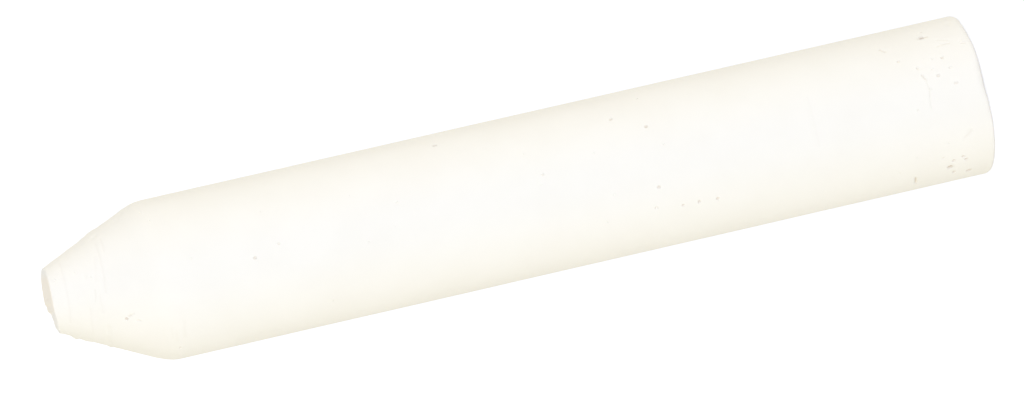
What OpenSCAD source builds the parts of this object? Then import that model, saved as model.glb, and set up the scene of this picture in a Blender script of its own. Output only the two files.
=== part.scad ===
// A cast chalk stick with a flat butt and a blunt cone for a tip.
// It stands on its butt. The origin is the centre of the butt face, +Z runs along the shaft
// to the tip, and bubble angles turn about +Z from +X. Lengths are in millimetres.

/* [Shaft] */
// Length along the shaft, from the butt face to the middle of the tip face
stick_len = 80; // [70:0.5:100]
// Diameter of the straight shaft
shaft_d = 13.6; // [12:0.1:16]
// Radius of the worn rim round the butt face
butt_round = 0.7; // [0.3:0.05:1.5]

/* [Tip] */
// Height of the cone, from the shoulder to the tip face
cone_h = 8.8; // [7:0.1:12]
// Diameter of the flat tip face
tip_d = 5.5; // [4:0.1:8]
// Radius of the worn rim round the tip face
tip_round = 0.2; // [0.1:0.05:0.5]
// Radius of the soft shoulder between the shaft and the cone
shoulder_round = 2.5; // [1:0.1:5]
// Angle by which the cone leans off the shaft's axis, towards +X
cone_lean = 2; // [0:0.1:3]
// Distance by which the cone's foot stands off the shaft's axis, towards +X
cone_shift = 0.15; // [0:0.05:0.3]

/* [Rings on the cone] */
// Distance of each ring below the tip face
ring_drops = [1.3, 2.85, 3.9, 4.4, 4.85];
// Width of a ring's groove
ring_w = 0.25; // [0.15:0.05:0.4]
// Depth of a ring's groove
ring_depth = 0.05; // [0.02:0.01:0.08]

/* [Chip in the tip's rim] */
// Distance of the chip's wall from the middle of the tip face, towards -X
chip_offset = 0.9; // [0.2:0.1:1.8]
// Depth of the chip at the middle of its wall
chip_depth = 0.2; // [0.2:0.05:1]
// Fall of the chip's floor towards +Y
chip_fall = 3; // [0:0.5:3]
// Fall of the chip's floor towards -X
chip_side_fall = 2; // [0:0.5:10]

/* [Air bubbles] */
// Diameter of a large bubble
bubble_d = 0.45; // [0.3:0.05:1]
// Diameter of a small bubble
small_bubble_d = 0.3; // [0.2:0.02:0.6]
// How deep a bubble is cut into the wall, as a share of its diameter
bubble_sink = 0.4; // [0.2:0.05:0.5]

/* [Hidden] */
// Each bubble's height as a share of the shaft, and its angle
LARGE_BUBBLES = [
    [0.056, 324], [0.035, 280], [0.056, 215], [0.05, 207], [0.441, 313], [0.404, 300],
    [0.407, 255], [0.362, 237], [0.889, 270], [0.17, 62], [0.63, 141]
];
SMALL_BUBBLES = [
    [0.093, 306], [0.042, 301], [0.053, 288], [0.037, 292], [0.052, 221], [0.04, 223], [0.032, 204],
    [0.34, 236], [0.382, 237], [0.402, 329], [0.538, 282], [0.647, 328], [0.712, 286], [0.75, 103]
];

shaft_r = shaft_d / 2;
tip_r = tip_d / 2;
cone_angle = atan((shaft_r - tip_r) / cone_h);
// The cutter flares a little below the shoulder, so that it clears the shaft where it leans
flare_angle = cone_lean + 3;
// Middle of the rim's arc in the tip's profile
tip_arc = [tip_r - tip_round * tan((90 - cone_angle) / 2), cone_h - tip_round];
// Middle of the shoulder's arc: it touches the cone, and ends on the shaft's wall
shoulder_arc = [
    shaft_r - shoulder_round * cos(flare_angle),
    shoulder_round * (cos(flare_angle) * cos(cone_angle) - 1) / sin(cone_angle)
];
// Middle of the leaning tip face, and the height of the shoulder that puts it there
tip_x = cone_shift + cone_h * sin(cone_lean);
shoulder_z = stick_len - cone_h * cos(cone_lean);
overshoot = 1;
$fn = 128;

// A point at a distance and an angle from a centre
function polar(centre, r, angle) = centre + r * [cos(angle), sin(angle)];

// Half section of the plain stick, with a rounded rim at the butt
module shaft_section() {
    rim = [shaft_r - butt_round, butt_round];
    top_z = stick_len + overshoot;
    polygon([[0, 0], [rim[0], 0], rim, [shaft_r, rim[1]], [shaft_r, top_z], [0, top_z]]);
    translate(rim) circle(butt_round);
}

// Half section of the space that the cone is cut from, with its shoulder at height 0
module cone_section() {
    foot = polar(shoulder_arc, shoulder_round, flare_angle);
    skirt_z = -stick_len - overshoot;
    difference() {
        union() {
            polygon([
                [0, skirt_z], [foot[0] + (foot[1] - skirt_z) * tan(flare_angle), skirt_z], foot,
                polar(shoulder_arc, shoulder_round, cone_angle), polar(tip_arc, tip_round, cone_angle),
                [tip_arc[0], cone_h], [0, cone_h]
            ]);
            translate(shoulder_arc) circle(shoulder_round);
            translate(tip_arc) circle(tip_round);
        }
        for (drop = ring_drops) ring_section(drop);
    }
}

// Notch across the cone's side, at a distance below the tip face
module ring_section(drop) {
    translate([tip_r + drop * tan(cone_angle), cone_h - drop])
        rotate(cone_angle)
            polygon([[-ring_depth, 0], [ring_depth, -ring_w], [ring_depth, ring_w]]);
}

// Flake lost from the -X side of the tip's rim
module chip() {
    reach = tip_d + overshoot;
    translate([tip_x - chip_offset, 0, stick_len - chip_depth])
        rotate([-chip_fall, -chip_side_fall, 0])
            translate([-reach, -reach, 0])
                cube([reach, 2 * reach, reach]);
}

// Half-open bubble in the shaft's wall
module bubble(share, angle, d) {
    rotate([0, 0, angle])
        translate([shaft_r + (0.5 - bubble_sink) * d, 0, share * shoulder_z])
            sphere(d = d, $fn = 32);
}

module chalk_stick() {
    color("ivory")
        difference() {
            intersection() {
                rotate_extrude() shaft_section();
                translate([cone_shift, 0, shoulder_z])
                    rotate([0, cone_lean, 0])
                        rotate_extrude() cone_section();
            }
            chip();
            for (b = LARGE_BUBBLES) bubble(b[0], b[1], bubble_d);
            for (b = SMALL_BUBBLES) bubble(b[0], b[1], small_bubble_d);
        }
}

chalk_stick();
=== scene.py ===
"""A cast stick of white chalk, standing on its butt. Sizes are in millimetres (MM), angles in degrees."""
import math
import random

import bmesh
import bpy
from mathutils import Matrix, Vector, kdtree, noise


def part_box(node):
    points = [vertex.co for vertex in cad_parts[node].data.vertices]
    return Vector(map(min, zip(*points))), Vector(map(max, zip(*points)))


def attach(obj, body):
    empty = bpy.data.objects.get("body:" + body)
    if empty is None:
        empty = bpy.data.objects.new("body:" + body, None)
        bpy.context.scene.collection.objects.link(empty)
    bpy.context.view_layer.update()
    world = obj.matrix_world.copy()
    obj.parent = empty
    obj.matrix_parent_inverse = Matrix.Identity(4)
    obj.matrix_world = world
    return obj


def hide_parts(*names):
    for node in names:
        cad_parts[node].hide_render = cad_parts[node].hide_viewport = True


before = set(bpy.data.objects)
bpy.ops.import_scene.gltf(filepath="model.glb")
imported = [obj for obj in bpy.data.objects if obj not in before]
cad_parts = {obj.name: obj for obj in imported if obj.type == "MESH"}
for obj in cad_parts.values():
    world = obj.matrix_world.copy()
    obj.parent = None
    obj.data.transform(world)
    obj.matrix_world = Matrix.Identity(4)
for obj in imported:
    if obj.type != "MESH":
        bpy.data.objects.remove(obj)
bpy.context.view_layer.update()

MM = 0.001

# The stick: the frame gives its shaft, and the cone's sizes are its own
box_low, box_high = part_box("chalk_stick")
SHAFT_R = (box_high.x - box_low.x) / 2
STICK_LEN = 80 * MM
CONE_H = 8.8 * MM
TIP_R = 2.75 * MM
SHOULDER_Z = STICK_LEN - CONE_H
CONE_ANGLE = math.atan2(SHAFT_R - TIP_R, CONE_H)

# The cone leans and is shifted a little towards +X. Both set in near the shoulder, at these rises from it
CONE_LEAN = math.tan(math.radians(2))
CONE_SHIFT = 0.15 * MM
LEAN_START = -3 * MM
SHIFT_RISE = (-1.2 * MM, 0.8 * MM)
TIP_X = CONE_SHIFT + CONE_H * CONE_LEAN

# How far each moulded rounding runs back from its corner, and its number of steps
BUTT_ROUND = (0.25 * MM, 4)
SHOULDER_ROUND = (1 * MM, 8)
TIP_ROUND = (0.1 * MM, 3)

# Lowest and highest point of the plain walls of the shaft and the cone, between their roundings
SHAFT_WALL = (2 * MM, SHOULDER_Z - 1 * MM)
CONE_WALL = (SHOULDER_Z + 1 * MM, STICK_LEN - 0.3 * MM)

# Mesh pitch along the section, and the number of steps round the stick
SHAFT_PITCH = 0.44 * MM
RIM_PITCH = 0.14 * MM
CONE_PITCH = 0.09 * MM
FACE_PITCH = 0.3 * MM
TIP_PITCH = 0.11 * MM
TURN_STEPS = 152

# What is this near an end's height belongs to its face, and points this near each other are one
FACE_GAP = 0.01 * MM
SAME_POINT = 0.001 * MM

# Distances from each kind of mark within which the mesh's edges are halved, once for each distance
BUBBLE_REACHES = (0.42 * MM, 0.34 * MM, 0.24 * MM)
CRACK_REACHES = (0.3 * MM, 0.2 * MM, 0.1 * MM)
SCORE_REACHES = (0.22 * MM, 0.14 * MM)
RING_REACHES = (0.2 * MM,)

# Steps between the points that follow a line and the ring
LINE_STEP = 0.04 * MM
RING_STEP = 0.1 * MM

# Worn rims: the rounding's radius in MM at angles about +Z from +X, even in between
BUTT_WEAR = (
    (0, 0.5), (35, 0.7), (90, 0.6), (150, 0.45), (180, 0.4), (205, 0.3), (240, 0.22), (262, 0.4),
    (273, 0.7), (285, 0.55), (305, 0.42), (340, 0.45),
)
TIP_WEAR = (
    (0, 0.2), (60, 0.15), (120, 0.2), (165, 0.6), (185, 1.0), (205, 0.65), (225, 0.25), (280, 0.2),
    (315, 0.35), (338, 0.6),
)

# Only points this near a rim's corner are worn, and the wear differs by a share in patches of a size
WEAR_REACH = 1.6 * MM
WEAR_PATCHES = (0.25, 1.3 * MM)

# Spots where the butt's face is worn away at its rim: angle, width and depth in MM. Each is full to this
# share of its half width, and has faded out at this height
WORN_SPOTS = ((271, 5.2, 0.065), (325, 4.8, 0.075))
SPOT_FULL = 0.4
SPOT_TOP = 1.5 * MM

# Flake lost from the -X side of the tip's face: the line where it starts and how far that line wanders, how
# soon its floor is reached, its depth, and how much deeper it gets towards +Y and towards -X
FLAKE_X = -0.4 * MM
FLAKE_WANDER = (0.12 * MM, 0.7 * MM)
FLAKE_STEP = 0.4 * MM
FLAKE_DEPTH = 0.155 * MM
FLAKE_FALL = 0.055
FLAKE_SIDE_FALL = 0.05

# The flake's rough floor: how rough it is, and the share and size of its coarse and its fine grain
FLAKE_ROUGH = 0.025 * MM
FLAKE_GRAINS = ((1, 0.5 * MM), (0.5, 0.16 * MM))

# Where the flake's floor drops off to the rim, from and to this far past the line, and by how much
FLAKE_EDGE = (1.5 * MM, 2 * MM)
FLAKE_EDGE_DEPTH = 0.09 * MM

# Shallow loss just outside the flake's line, fading towards -Y: its depth, and from and to where it sets in
FLAKE_LIP = 0.1 * MM
LIP_RISE = (-0.55 * MM, -0.3 * MM)

# The rubbed film: how far below the tip's face it starts and is full, where it fades on the +X side and at
# the flake's line, and the share of it that is left on the flake's floor
FILM_RISE = (0.11 * MM, 0.03 * MM)
FILM_FADE = (1.5 * MM, 2.3 * MM)
FLAKE_FILM_START = 0.1 * MM
FLAKE_FILM = 0.4

# Only points this near the tip's height are broken or filmed
TIP_ZONE = 1.2 * MM

# Ring left on the cone by the mould: height, first and last angle, width and depth in MM. It fades out over
# some degrees at each end, drifts up and down, and is stronger in some patches
MOULD_RING = (75.85, 190, 232, 0.45, 0.08)
RING_FADE = 8
RING_DRIFT = (0.06 * MM, 2.5 * MM)
RING_STRENGTH = 0.75
RING_PATCHES = (0.6, 0.9 * MM)

# Lines scored round the cone, and one round the shaft: their points as height and angle, then width and
# depth in MM
SCORES = (
    (((75.58, 322), (75.58, 300), (75.62, 283), (75.72, 266)), 0.32, 0.023),
    (((75.11, 325), (75.14, 307)), 0.28, 0.025),
    (((76.01, 305), (76.15, 292), (76.32, 280)), 0.3, 0.016),
    (((76.22, 264), (76.24, 257), (76.18, 245)), 0.3, 0.018),
    (((76.54, 270), (76.62, 258)), 0.26, 0.03),
    (((78.67, 327), (78.72, 308), (78.73, 294), (78.73, 280), (78.72, 258), (78.8, 228)), 0.34, 0.021),
    (((77.14, 250), (77.14, 233), (77.09, 212)), 0.3, 0.016),
    (((69.95, 236), (70.04, 223)), 0.4, 0.021),
    (((71.0, 231), (70.95, 222)), 0.4, 0.018),
    (((70.66, 227), (70.62, 219)), 0.4, 0.018),
    (((15.05, 258), (15.05, 294)), 0.2, 0.022),
)

# Hairline cracks and scratches: their points as height and angle, then width and depth in MM
CRACKS = (
    (((5.13, 291), (4.93, 287.5)), 0.2, 0.12),
    (((4.93, 287.5), (4.85, 280), (5.03, 270), (5.1, 266)), 0.13, 0.05),
    (((74.2, 240.7), (74.03, 241.9)), 0.34, 0.09), (((74.03, 242.1), (73.78, 243.6)), 0.2, 0.06),
    (((7.0, 211), (6.9, 203)), 0.18, 0.2),
    (((3.07, 311.5), (2.5, 312.3), (1.96, 312.3)), 0.15, 0.07),
    (((2.8, 318), (1.91, 315.3)), 0.13, 0.06),
    (((1.0, 309.7), (0.66, 309.3)), 0.18, 0.08),
    (((2.6, 240), (2.0, 243.5)), 0.34, 0.05),
    (((7.7, 321.5), (7.36, 318)), 0.22, 0.12),
)

# Lines are broken up in patches, and one as deep as this gets as much painted shade as a deep bubble
LINE_STRENGTH = 0.65
LINE_PATCHES = (0.5, 0.6 * MM)
LINE_DARK = 0.25 * MM

# Air bubbles open in the wall: height, angle, length along the stick and width round it in MM
BUTT_BUBBLES = (
    (3.95, 324, 0.45, 0.39), (3.75, 331.5, 0.3, 0.19), (6.65, 306, 0.22, 0.22), (5.3, 297, 0.2, 0.26),
    (4.6, 303, 0.14, 0.13), (3.8, 302, 0.17, 0.17), (3.0, 301, 0.275, 0.238), (4.15, 294, 0.26, 0.165),
    (2.6, 292, 0.32, 0.175), (3.8, 288, 0.33, 0.225), (2.5, 280, 0.41, 0.215), (6.2, 267, 0.22, 0.18),
    (4.1, 238, 0.16, 0.16), (4.6, 226, 0.24, 0.2), (4.0, 214.7, 0.48, 0.44), (3.7, 221, 0.28, 0.26),
    (3.6, 207, 0.28, 0.37), (2.85, 223, 0.28, 0.25), (2.6, 219.5, 0.27, 0.29), (2.25, 204, 0.48, 0.39),
    (8.4, 221, 0.16, 0.3), (6.9, 232, 0.15, 0.15), (4.72, 279.7, 0.3, 0.13), (1.03, 312, 0.17, 0.14),
)
SHAFT_BUBBLES = (
    (31.4, 313, 0.33, 0.25), (28.8, 300, 0.29, 0.27), (29.0, 255, 0.295, 0.245), (29.5, 240, 0.235, 0.22),
    (27.2, 237, 0.24, 0.25), (25.8, 237, 0.27, 0.26), (24.2, 236, 0.26, 0.32), (38.3, 282, 0.25, 0.207),
    (38.6, 275, 0.16, 0.16), (39.4, 300, 0.15, 0.15), (27.8, 284, 0.17, 0.17), (28.6, 329, 0.28, 0.2),
    (33.7, 289, 0.15, 0.15), (33.8, 238, 0.2, 0.16), (50.7, 286, 0.24, 0.19), (63.3, 270, 0.275, 0.243),
    (46.1, 328, 0.31, 0.28), (61.9, 302, 0.14, 0.14), (61.1, 276, 0.23, 0.2), (68.5, 280, 0.15, 0.15),
    (53.8, 263, 0.19, 0.165), (57.4, 224, 0.18, 0.17), (54.4, 298.6, 0.12, 0.115), (32.8, 256.8, 0.17, 0.16),
    (51.4, 269.3, 0.12, 0.12),
)
CONE_BUBBLES = (
    (74.4, 238.3, 0.275, 0.285), (73.5, 236.8, 0.4, 0.2), (79.4, 299, 0.14, 0.18), (76.65, 285, 0.16, 0.18),
    (77.85, 298, 0.14, 0.24), (71.5, 328, 0.18, 0.18), (71.05, 316, 0.14, 0.26), (70.38, 210, 0.2, 0.3),
)

# A bubble's depth as a share of its narrow side: the most, and how it rises with that side in MM. A bubble
# as deep as this gets the full painted shade on its floor, and its edge is uneven
BUBBLE_DEPTH = 0.55
BUBBLE_DEPTH_RISE = 2.2
BUBBLE_DARK = 0.18 * MM
BUBBLE_PATCHES = (0.2, 0.15 * MM)

# Small bubbles scattered over the far side, and the limits of their height, angle, length and width
FAR_BUBBLES = 26
FAR_LIMITS = ((2, 77), (5, 175), (0.16, 0.34), (0.16, 0.3))
FAR_SEED = 7

# Shallow dents, and low bumps where the depth is negative: height, angle, width and depth in MM
DENTS = (
    (75.45, 336, 0.9, 0.1), (73.5, 338, 0.7, 0.09), (72.9, 345, 0.7, 0.09), (72.1, 349, 0.7, 0.08),
    (77.1, 288, 0.7, 0.04), (78.1, 266, 0.6, 0.04), (1.3, 285, 1.2, 0.03), (1.2, 335, 0.9, 0.08),
    (0.8, 289, 0.7, 0.05), (5.2, 297, 0.5, 0.03), (5.0, 263.5, 0.5, 0.03), (75.5, 0, 1.4, -0.08),
    (74.05, 0, 1.0, 0.075), (72.6, 0, 0.8, -0.05), (77.5, 180, 1.6, -0.07), (78.3, 180, 0.8, -0.14),
    (75.6, 180, 0.6, -0.08), (79.5, 185, 1.0, 0.12), (79.0, 176, 1.4, 0.085),
)
DENT_PATCHES = (0.3, 0.3 * MM)

# Flats, where a side of the cone lies inside its turned form: first and last height, angle, depth in MM,
# and the heights over which each sets in and ends
FLATS = ((76.2, 81, 0, 0.06), (77.6, 81, 0, 0.04), (79.2, 81, 0, 0.035))
FLAT_RISE = 0.5
FLAT_END = 1

# Unevenness of the cast wall: size of its waves and their depth
WAVES = ((9 * MM, 0.02 * MM), (2.2 * MM, 0.008 * MM))


def smoothstep(value, start, end):
    """0 at start, 1 at end, and a smooth rise between them."""
    t = min(max((value - start) / (end - start), 0), 1)
    return t * t * (3 - 2 * t)


def wear_at(stops, angle):
    """The wear that the stops give at an angle, even round the whole turn."""
    angles = [stop[0] for stop in stops] + [stops[0][0] + 360]
    values = [stop[1] for stop in stops] + [stops[0][1]]
    for first, last, start, end in zip(angles, angles[1:], values, values[1:]):
        if first <= angle <= last:
            return (start + (end - start) * smoothstep(angle, first, last)) * MM
    return values[0] * MM


def angle_of(point):
    """Angle of a point about +Z from +X, from 0 to 360 degrees."""
    return math.degrees(math.atan2(point.y, point.x)) % 360


def patchy(place, most, size):
    """Up to this much more or less, in soft patches of a size."""
    return most * noise.noise(place / size)


def round_corner(bm, vert, offset, segments):
    """Rounds one corner of the section."""
    bmesh.ops.bevel(bm, geom=[vert], offset=offset, offset_type="OFFSET", segments=segments,
                    profile=0.5, material=-1, affect="VERTICES")


def section_pitch(point):
    """Mesh pitch along the section at a point."""
    if point.z < FACE_GAP:
        return FACE_PITCH
    if point.z > STICK_LEN - FACE_GAP:
        return TIP_PITCH
    if point.z < SHAFT_WALL[0]:
        return RIM_PITCH
    return SHAFT_PITCH if point.z < SHAFT_WALL[1] else CONE_PITCH


def turned_stick():
    """The plain stick: its half section, spun about its axis and closed at both ends."""
    bm = bmesh.new()
    corners = (
        (0, 0), (SHAFT_R, 0), (SHAFT_R, SHAFT_WALL[0]), (SHAFT_R, SHAFT_WALL[1]),
        (SHAFT_R, SHOULDER_Z), (TIP_R, STICK_LEN), (0, STICK_LEN),
    )
    verts = [bm.verts.new((x, 0, z)) for x, z in corners]
    for start, end in zip(verts, verts[1:]):
        bm.edges.new((start, end))
    round_corner(bm, verts[1], *BUTT_ROUND)
    round_corner(bm, verts[4], *SHOULDER_ROUND)
    round_corner(bm, verts[5], *TIP_ROUND)
    for edge in list(bm.edges):
        middle = (edge.verts[0].co + edge.verts[1].co) / 2
        cuts = int(edge.calc_length() / section_pitch(middle))
        if cuts:
            bmesh.ops.subdivide_edges(bm, edges=[edge], cuts=cuts)
    bmesh.ops.spin(bm, geom=bm.verts[:] + bm.edges[:], cent=(0, 0, 0), axis=(0, 0, 1),
                   angle=2 * math.pi, steps=TURN_STEPS, use_merge=True)
    bmesh.ops.remove_doubles(bm, verts=bm.verts, dist=SAME_POINT)
    bmesh.ops.recalc_face_normals(bm, faces=bm.faces)
    return bm


def wall_radius(z):
    """Radius of the plain wall at a height, without its roundings."""
    return SHAFT_R - max(z - SHOULDER_Z, 0) * math.tan(CONE_ANGLE)


def on_wall(height, angle):
    """Point of the plain wall at a height in MM and an angle."""
    turn = math.radians(angle)
    r = wall_radius(height * MM)
    return Vector((r * math.cos(turn), r * math.sin(turn), height * MM))


def points_along(stops, step):
    """Points of the wall along a line of (height, angle) stops."""
    points = []
    for (low, first), (high, last) in zip(stops, stops[1:]):
        count = max(2, int((on_wall(high, last) - on_wall(low, first)).length / step) + 1)
        for index in range(count + 1):
            share = index / count
            points.append(on_wall(low + (high - low) * share, first + (last - first) * share))
    return points


def lines_of(marks):
    """The points, width and depth of each mark in a list."""
    return [(points_along(stops, LINE_STEP), width * MM, depth * MM) for stops, width, depth in marks]


def tree_of(places):
    """Search tree of a list of places."""
    tree = kdtree.KDTree(len(places))
    for index, place in enumerate(places):
        tree.insert(place, index)
    tree.balance()
    return tree


def refine_near(bm, places, reaches):
    """Halves the edges near the places, once for each reach."""
    tree = tree_of(places)
    for reach in reaches:
        near = [e for e in bm.edges if tree.find((e.verts[0].co + e.verts[1].co) / 2)[2] < reach]
        bmesh.ops.subdivide_edges(bm, edges=near, cuts=1, use_grid_fill=True)
        bmesh.ops.triangulate(bm, faces=[f for f in bm.faces if len(f.verts) > 4])


def true_wall(bm):
    """Puts the halved edges' new points back on the round wall."""
    for vert in bm.verts:
        on_shaft = SHAFT_WALL[0] < vert.co.z < SHAFT_WALL[1]
        on_cone = CONE_WALL[0] < vert.co.z < CONE_WALL[1]
        if on_shaft or on_cone:
            scale = wall_radius(vert.co.z) / math.hypot(vert.co.x, vert.co.y)
            vert.co.x *= scale
            vert.co.y *= scale


def eased(point, corner, first_in, second_in, radius):
    """A section point that lies outside a rounding of the corner, moved onto that rounding."""
    centre = corner + (first_in + second_in) * (radius / (1 + first_in.dot(second_in)))
    away = point - centre
    turn = first_in.cross(second_in)
    in_corner = away.cross(second_in) / turn < 0 and first_in.cross(away) / turn < 0
    if in_corner and away.length > radius:
        return centre + away * (radius / away.length)
    return point


def wear_rim(bm, corner, first_in, second_in, stops):
    """Rounds one rim of the stick by the wear that the stops give round it."""
    for vert in bm.verts:
        flat = Vector((math.hypot(vert.co.x, vert.co.y), vert.co.z))
        if (flat - corner).length > WEAR_REACH or flat.x == 0:
            continue
        radius = wear_at(stops, angle_of(vert.co)) * (1 + patchy(vert.co, *WEAR_PATCHES))
        moved = eased(flat, corner, first_in, second_in, radius)
        vert.co = Vector((vert.co.x * moved.x / flat.x, vert.co.y * moved.x / flat.x, moved.y))


def wear_spot(bm, spot):
    """Wears the butt's face away at a spot of its rim."""
    angle, width, depth = spot
    place = on_wall(0, angle)
    for vert in bm.verts:
        gap = (vert.co - place).length / (width / 2 * MM)
        if gap < 1:
            low = 1 - smoothstep(vert.co.z, 0, SPOT_TOP)
            vert.co.z += depth * MM * (1 - smoothstep(gap, SPOT_FULL, 1)) * low


def press_bubble(bm, tree, bubble, painted_shade_layer):
    """Presses one open bubble into the wall, and marks painted shade in it, darker the deeper it is."""
    height, angle, length, width = bubble
    place = on_wall(height, angle)
    outward = Vector((place.x, place.y, 0)).normalized()
    sideways = outward.cross(Vector((0, 0, 1)))
    narrow = min(length, width)
    depth = narrow * min(BUBBLE_DEPTH, BUBBLE_DEPTH_RISE * narrow) * MM
    darkness = min(depth / BUBBLE_DARK, 1) ** 2
    for _, index, _ in tree.find_range(place, max(length, width) * MM):
        vert = bm.verts[index]
        away = vert.co - place
        gap = math.hypot(away.z / (length / 2 * MM), away.dot(sideways) / (width / 2 * MM))
        gap *= 1 + patchy(vert.co, *BUBBLE_PATCHES)
        if gap < 1:
            bowl = math.sqrt(1 - gap * gap)
            vert.co -= outward * depth * bowl
            # Painted shade on the bubble's floor, stronger in deeper bubbles
            vert[painted_shade_layer] = max(vert[painted_shade_layer], bowl * darkness)


def press_line(bm, tree, points, width, depth, painted_shade_layer):
    """Presses a hairline into the wall along a row of points, broken up by noise, and marks painted shade
    along it.
    """
    line = tree_of(points)
    pressed = set()
    for point in points:
        pressed.update(index for _, index, _ in tree.find_range(point, width / 2))
    for index in pressed:
        vert = bm.verts[index]
        gap = line.find(vert.co)[2] / (width / 2)
        outward = Vector((vert.co.x, vert.co.y, 0)).normalized()
        strength = LINE_STRENGTH + patchy(vert.co, *LINE_PATCHES)
        vert.co -= outward * depth * (1 - gap * gap) * strength
        # Painted shade along the line, stronger in deeper lines
        vert[painted_shade_layer] = max(vert[painted_shade_layer], (1 - gap) * min(depth / LINE_DARK, 1))


def press_ring(bm, ring):
    """Presses a mould ring into the wall between two angles, fading at its ends."""
    height, first, last, width, depth = ring
    for vert in bm.verts:
        drift = patchy(Vector((vert.co.x, vert.co.y, height)), *RING_DRIFT)
        gap = abs(vert.co.z - height * MM - drift) / (width / 2 * MM)
        angle = angle_of(vert.co)
        if gap >= 1 or not first < angle < last:
            continue
        ends = smoothstep(angle, first, first + RING_FADE) * smoothstep(-angle, -last, RING_FADE - last)
        outward = Vector((vert.co.x, vert.co.y, 0)).normalized()
        strength = max(RING_STRENGTH + patchy(vert.co, *RING_PATCHES), 0)
        vert.co -= outward * depth * MM * (1 - gap * gap) * ends * strength


def press_dent(bm, dent):
    """Presses a shallow, soft dent into the wall."""
    height, angle, width, depth = dent
    place = on_wall(height, angle)
    outward = Vector((place.x, place.y, 0)).normalized()
    for vert in bm.verts:
        gap = (vert.co - place).length / (width / 2 * MM)
        gap *= 1 + patchy(vert.co, *DENT_PATCHES)
        if gap < 1:
            vert.co -= outward * depth * MM * (1 - gap * gap) ** 2


def press_flat(bm, flat):
    """Flattens one side of the cone a little from one height to another."""
    low, high, angle, depth = flat
    side = Vector((math.cos(math.radians(angle)), math.sin(math.radians(angle)), 0))
    for vert in bm.verts:
        height = vert.co.z / MM
        if low < height < high:
            facing = max(side.dot(Vector((vert.co.x, vert.co.y, 0)).normalized()), 0) ** 2
            ends = smoothstep(height, low, low + FLAT_RISE) * smoothstep(-height, -high, FLAT_END - high)
            vert.co -= side * depth * MM * facing * ends


def lean_cone(bm):
    """Leans the cone towards +X about its foot, and shifts it a little."""
    for vert in bm.verts:
        x, rise = vert.co.x, vert.co.z - SHOULDER_Z
        vert.co.x += CONE_SHIFT * smoothstep(rise, *SHIFT_RISE) + max(rise, 0) * CONE_LEAN
        vert.co.z -= x * CONE_LEAN * smoothstep(rise, LEAN_START, 0)
        over = math.hypot(vert.co.x, vert.co.y) / SHAFT_R
        if over > 1:
            vert.co.x /= over
            vert.co.y /= over


def flake_floor(point, into):
    """Height of the flake's floor at a point, this far past the line where the flake starts."""
    rough = FLAKE_ROUGH * sum(patchy(point, *grain) for grain in FLAKE_GRAINS)
    drop = FLAKE_DEPTH + FLAKE_FALL * point.y + FLAKE_SIDE_FALL * into + rough
    drop += FLAKE_EDGE_DEPTH * smoothstep(into, *FLAKE_EDGE)
    lip = FLAKE_LIP * smoothstep(into, *LIP_RISE) * smoothstep(point.y, -TIP_R, 0)
    return STICK_LEN - max(lip, max(drop, 0) * smoothstep(into, 0, FLAKE_STEP))


def film_at(point, into):
    """How much of the rubbed film a point of the whole tip has, this far past the flake's line."""
    level = point.z + (point.x - TIP_X) * CONE_LEAN
    on_face = smoothstep(level, STICK_LEN - FILM_RISE[0], STICK_LEN - FILM_RISE[1])
    kept = 1 - (1 - FLAKE_FILM) * smoothstep(into, FLAKE_FILM_START, FLAKE_STEP)
    return on_face * kept * (1 - smoothstep(point.x - TIP_X, *FILM_FADE))


def break_flake(bm, film_layer):
    """Breaks the flake off the tip's face, and marks where the rubbed film is left."""
    for vert in bm.verts:
        if vert.co.z >= STICK_LEN - TIP_ZONE:
            into = FLAKE_X - vert.co.x + patchy(vert.co, *FLAKE_WANDER)
            vert[film_layer] = film_at(vert.co, into)
            vert.co.z = min(vert.co.z, flake_floor(vert.co, into))


def wave_wall(bm):
    """Gives the cast wall its slight unevenness, always inwards."""
    bm.normal_update()
    for vert in bm.verts:
        push = sum(depth * (noise.noise(vert.co / size) - 1) / 2 for size, depth in WAVES)
        vert.co += vert.normal * push


def all_bubbles():
    """The bubbles of the near side, and the small ones scattered over the far side."""
    chance = random.Random(FAR_SEED)
    far = [tuple(chance.uniform(*limits) for limits in FAR_LIMITS) for _ in range(FAR_BUBBLES)]
    return [*BUTT_BUBBLES, *SHAFT_BUBBLES, *CONE_BUBBLES, *far]


def refine_marks(bm, bubbles, cracks, scores):
    """Gives the mesh the fine faces that the marks need."""
    height, first, last, _, _ = MOULD_RING
    refine_near(bm, [on_wall(bubble[0], bubble[1]) for bubble in bubbles], BUBBLE_REACHES)
    refine_near(bm, [point for crack in cracks for point in crack[0]], CRACK_REACHES)
    refine_near(bm, [point for score in scores for point in score[0]], SCORE_REACHES)
    refine_near(bm, points_along(((height, first), (height, last)), RING_STEP), RING_REACHES)
    true_wall(bm)


def press_marks(bm, bubbles, lines, painted_shade_layer):
    """Presses every mark into the wall, with painted shade in the bubbles and lines."""
    bm.verts.ensure_lookup_table()
    tree = tree_of([vert.co for vert in bm.verts])
    for bubble in bubbles:
        press_bubble(bm, tree, bubble, painted_shade_layer)
    for points, width, depth in lines:
        press_line(bm, tree, points, width, depth, painted_shade_layer)
    press_ring(bm, MOULD_RING)
    for dent in DENTS:
        press_dent(bm, dent)
    for flat in FLATS:
        press_flat(bm, flat)


def wear_ends(bm):
    """Wears the rims of the butt and the tip, and the spots on the butt."""
    wear_rim(bm, Vector((SHAFT_R, 0)), Vector((-1, 0)), Vector((0, 1)), BUTT_WEAR)
    for spot in WORN_SPOTS:
        wear_spot(bm, spot)
    wall_in = Vector((-math.cos(CONE_ANGLE), -math.sin(CONE_ANGLE)))
    wear_rim(bm, Vector((TIP_R, STICK_LEN)), wall_in, Vector((0, -1)), TIP_WEAR)


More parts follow.
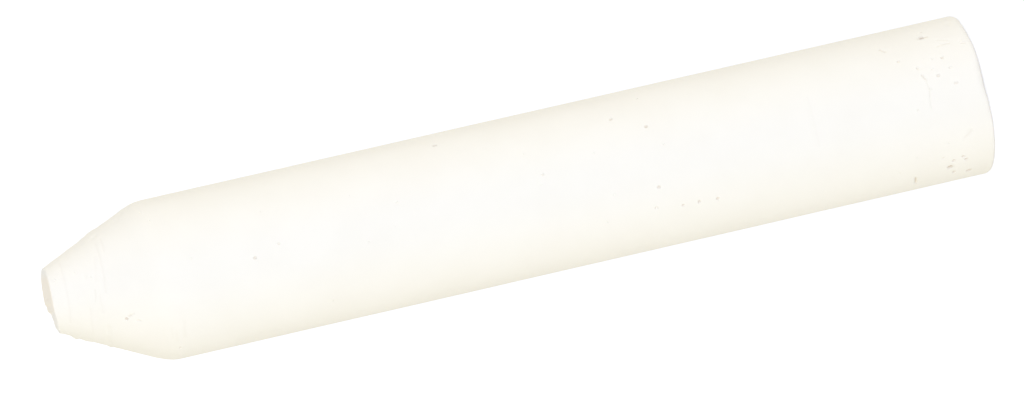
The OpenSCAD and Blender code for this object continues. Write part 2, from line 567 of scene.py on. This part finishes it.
def chalk_stick():
    """The whole stick as one closed mesh."""
    bm = turned_stick()
    # The bubble layer holds painted shade for the bubbles and the lines
    painted_shade_layer = bm.verts.layers.float.new("bubble")
    film_layer = bm.verts.layers.float.new("film")
    bubbles = all_bubbles()
    cracks = lines_of(CRACKS)
    scores = lines_of(SCORES)
    refine_marks(bm, bubbles, cracks, scores)
    press_marks(bm, bubbles, cracks + scores, painted_shade_layer)
    wear_ends(bm)
    lean_cone(bm)
    break_flake(bm, film_layer)
    wave_wall(bm)
    mesh = bpy.data.meshes.new("chalk_stick_body")
    bm.to_mesh(mesh)
    bm.free()
    mesh.shade_smooth()
    stick = bpy.data.objects.new("cast_chalk", mesh)
    bpy.context.scene.collection.objects.link(stick)
    return stick


# Linear colours of the chalk, of the painted shade in its bubbles and lines, and of the rubbed film on its
# tip
CHALK = (0.952, 0.931, 0.857, 1)
PAINTED_PIT_SHADE = (0.72, 0.64, 0.54, 1)
TIP_FILM = (0.97, 0.905, 0.782, 1)

# The chalk's faint clouds: how much they dim its red, green and blue, where they start and end in the
# noise, and the noise's scale and detail
CLOUD_DIM = (0.985, 0.983, 0.978)
CLOUD_RANGE = (0.3, 0.62)
CLOUD_NOISE = (220, 4)

# Gloss and roughness: the clouds make it rougher by this much, and rubbing makes it smoother
CHALK_GLOSS = 0.1
CHALK_ROUGH = 0.85
CLOUD_ROUGH = 0.1
RUBBED_SMOOTH = 0.05

# The chalk's fine grain: the scale and detail of its noise, and its strength and depth
GRAIN_NOISE = (5000, 3)
GRAIN_STRENGTH = 0.25
GRAIN_DEPTH = 0.02 * MM


def maths(nodes, links, operation, first, second):
    """One Math node between two sockets, or a socket and a number."""
    node = nodes.new("ShaderNodeMath")
    node.operation = operation
    for socket, value in zip(node.inputs, (first, second)):
        if isinstance(value, bpy.types.NodeSocket):
            links.new(value, socket)
        else:
            socket.default_value = value
    return node.outputs[0]


def layer_value(nodes, layer):
    """The value that one of the mesh's layers has at a point."""
    reader = nodes.new("ShaderNodeAttribute")
    reader.attribute_name = layer
    return reader.outputs["Fac"]


def mixed(nodes, links, share, colour, other):
    """A share of another colour mixed over a colour."""
    mix = nodes.new("ShaderNodeMix")
    mix.data_type = "RGBA"
    links.new(share, mix.inputs["Factor"])
    links.new(colour, mix.inputs["A"])
    mix.inputs["B"].default_value = other
    return mix.outputs["Result"]


def noise_value(nodes, links, place, scale, detail):
    """Noise of a scale and detail over the stick's own coordinates."""
    speckle = nodes.new("ShaderNodeTexNoise")
    speckle.inputs["Scale"].default_value = scale
    speckle.inputs["Detail"].default_value = detail
    links.new(place, speckle.inputs["Vector"])
    return speckle.outputs["Fac"]


def clouded(nodes, links, cloud):
    """The chalk's colour, a little dimmer in its clouds."""
    tint = nodes.new("ShaderNodeValToRGB")
    dim, clear = tint.color_ramp.elements
    dim.position, clear.position = CLOUD_RANGE
    dim.color = (*(level * share for level, share in zip(CHALK, CLOUD_DIM)), 1)
    clear.color = CHALK
    links.new(cloud, tint.inputs["Fac"])
    return tint.outputs["Color"]


def roughness(nodes, links, cloud, film):
    """The chalk's roughness, a little more in its clouds and less where it was rubbed."""
    powdery = maths(nodes, links, "MULTIPLY", cloud, CLOUD_ROUGH)
    rubbed = maths(nodes, links, "MULTIPLY", film, RUBBED_SMOOTH)
    return maths(nodes, links, "ADD", maths(nodes, links, "SUBTRACT", powdery, rubbed), CHALK_ROUGH)


def grained(nodes, links, place):
    """The chalk's normal, uneven with fine grain."""
    bump = nodes.new("ShaderNodeBump")
    bump.inputs["Strength"].default_value = GRAIN_STRENGTH
    bump.inputs["Distance"].default_value = GRAIN_DEPTH
    links.new(noise_value(nodes, links, place, *GRAIN_NOISE), bump.inputs["Height"])
    return bump.outputs["Normal"]


def chalk_material():
    """White chalk: matte, finely grained, with painted shade in its bubbles and lines, and a little smoother
    where it was rubbed.
    """
    material = bpy.data.materials.new("white_chalk")
    material.use_nodes = True
    nodes, links = material.node_tree.nodes, material.node_tree.links
    shader = nodes["Principled BSDF"]
    shader.inputs["Specular IOR Level"].default_value = CHALK_GLOSS
    place = nodes.new("ShaderNodeTexCoord").outputs["Object"]
    cloud = noise_value(nodes, links, place, *CLOUD_NOISE)
    film = layer_value(nodes, "film")
    filmed = mixed(nodes, links, film, clouded(nodes, links, cloud), TIP_FILM)
    # Painted shade: the bubble layer darkens bubbles and lines towards the pit shade colour, more where they
    # are deeper
    colour = mixed(nodes, links, layer_value(nodes, "bubble"), filmed, PAINTED_PIT_SHADE)
    links.new(colour, shader.inputs["Base Color"])
    links.new(roughness(nodes, links, cloud, film), shader.inputs["Roughness"])
    links.new(grained(nodes, links, place), shader.inputs["Normal"])
    return material


# The floor is a frosted white sheet: how far it reaches from the stick in metres, its whiteness, the share
# of its light that comes through it from below, and the glow that it has in a plain view
FLOOR_REACH = 3
FLOOR_WHITE = 0.95
FLOOR_FROST = 0.5
FLOOR_GLOW = 0.3

# Even surround: the colour and the level of its light, and the white that is seen of it
SURROUND = (0.89, 0.918, 1)
SURROUND_LEVEL = 0.75
PLAIN_WHITE = (1, 1, 1, 1)

# Soft lamps: a cool one in front of the stick and one behind it, and a weaker warm one at each side, with
# sizes and places in metres, and watts
LAMP_SIZE = 0.8
COOL_WHITE = (0.897, 0.911, 1)
WARM_WHITE = (1, 0.77, 0.21)
WARM_YELLOW = (1, 0.76, 0.0)
LAMPS = (
    ("front_lamp", (0, -1.2, 0.25), 7.0, COOL_WHITE),
    ("back_lamp", (0, 1.2, 0.04), 7.0, COOL_WHITE),
    ("right_lamp", (1.2, 0, 0.04), 4.3, WARM_WHITE),
    ("left_lamp", (-1.05, 0, 0.6), 2.4, WARM_YELLOW),
)


def plain_view(nodes, links):
    """1 for rays that show the background as it is: the camera's, mirrored ones and those through glass."""
    rays = nodes.new("ShaderNodeLightPath").outputs
    clear = maths(nodes, links, "SUBTRACT", rays["Is Transmission Ray"], rays["Is Diffuse Ray"])
    direct = maths(nodes, links, "MAXIMUM", rays["Is Camera Ray"], rays["Is Glossy Ray"])
    return maths(nodes, links, "MAXIMUM", direct, clear)


def floor_material():
    """Frosted white that looks white and keeps the stick's soft shadow."""
    material = bpy.data.materials.new("floor_white")
    material.use_nodes = True
    nodes, links = material.node_tree.nodes, material.node_tree.links
    nodes.remove(nodes["Principled BSDF"])
    white = (FLOOR_WHITE, FLOOR_WHITE, FLOOR_WHITE, 1)
    matte = nodes.new("ShaderNodeBsdfDiffuse")
    matte.inputs["Color"].default_value = white
    frosted = nodes.new("ShaderNodeBsdfTranslucent")
    frosted.inputs["Color"].default_value = white
    sheet = nodes.new("ShaderNodeMixShader")
    sheet.inputs["Fac"].default_value = FLOOR_FROST
    links.new(matte.outputs[0], sheet.inputs[1])
    links.new(frosted.outputs[0], sheet.inputs[2])
    glow = nodes.new("ShaderNodeEmission")
    links.new(maths(nodes, links, "MULTIPLY", plain_view(nodes, links), FLOOR_GLOW), glow.inputs["Strength"])
    lit = nodes.new("ShaderNodeAddShader")
    links.new(sheet.outputs[0], lit.inputs[0])
    links.new(glow.outputs[0], lit.inputs[1])
    links.new(lit.outputs[0], nodes["Material Output"].inputs["Surface"])
    return material


def floor():
    """The wide floor under the stick."""
    bm = bmesh.new()
    bmesh.ops.create_grid(bm, x_segments=1, y_segments=1, size=FLOOR_REACH)
    mesh = bpy.data.meshes.new("floor")
    bm.to_mesh(mesh)
    bm.free()
    mesh.materials.append(floor_material())
    plane = bpy.data.objects.new("floor", mesh)
    bpy.context.scene.collection.objects.link(plane)


def surround():
    """Even white surround, plain white where it is seen."""
    world = bpy.data.worlds.new("surround")
    world.use_nodes = True
    nodes, links = world.node_tree.nodes, world.node_tree.links
    even = nodes["Background"]
    even.inputs["Color"].default_value = (*SURROUND, 1)
    even.inputs["Strength"].default_value = SURROUND_LEVEL
    white = nodes.new("ShaderNodeBackground")
    white.inputs["Color"].default_value = PLAIN_WHITE
    both = nodes.new("ShaderNodeMixShader")
    links.new(plain_view(nodes, links), both.inputs["Fac"])
    links.new(even.outputs[0], both.inputs[1])
    links.new(white.outputs[0], both.inputs[2])
    links.new(both.outputs[0], nodes["World Output"].inputs["Surface"])
    bpy.context.scene.world = world


def soft_lamp(name, place, watts, colour):
    """One large soft lamp, aimed at the stick's middle."""
    lamp = bpy.data.lights.new(name, "AREA")
    lamp.shape = "SQUARE"
    lamp.size = LAMP_SIZE
    lamp.energy = watts
    lamp.color = colour
    holder = bpy.data.objects.new(name, lamp)
    holder.location = place
    aim = Vector((0, 0, STICK_LEN / 2)) - holder.location
    holder.rotation_euler = aim.to_track_quat("-Z", "Y").to_euler()
    bpy.context.scene.collection.objects.link(holder)


# Camera: far off, a little above the stick, and rolled over so that the stick lies across the view.
# It sees as far as this limit in metres
VIEW_RISE = math.radians(9.69)
VIEW_ROLL = math.radians(102.9)
VIEW_DISTANCE = 0.8
VIEW_LIMIT = 20
VIEW_TARGET = Vector((-0.2, 0, 40.196)) * MM
LENS_MM = 337.46


def camera():
    """The camera, aimed at the stick's middle."""
    back = Vector((0, -math.cos(VIEW_RISE), math.sin(VIEW_RISE)))
    up = Vector((0, math.sin(VIEW_RISE), math.cos(VIEW_RISE)))
    right = Vector((1, 0, 0))
    turn = Matrix((right, up, back)).transposed().to_4x4()
    data = bpy.data.cameras.new("camera")
    data.lens = LENS_MM
    data.clip_end = VIEW_LIMIT
    holder = bpy.data.objects.new("camera", data)
    holder.matrix_world = (Matrix.Translation(VIEW_TARGET + back * VIEW_DISTANCE)
                           @ turn @ Matrix.Rotation(-VIEW_ROLL, 4, "Z"))
    bpy.context.scene.collection.objects.link(holder)
    bpy.context.scene.camera = holder


stick = chalk_stick()
stick.data.materials.append(chalk_material())
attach(stick, "root")
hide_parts("chalk_stick")
floor()
surround()
for lamp_name, lamp_place, lamp_watts, lamp_colour in LAMPS:
    soft_lamp(lamp_name, lamp_place, lamp_watts, lamp_colour)
camera()

bpy.context.scene.view_settings.view_transform = "Standard"
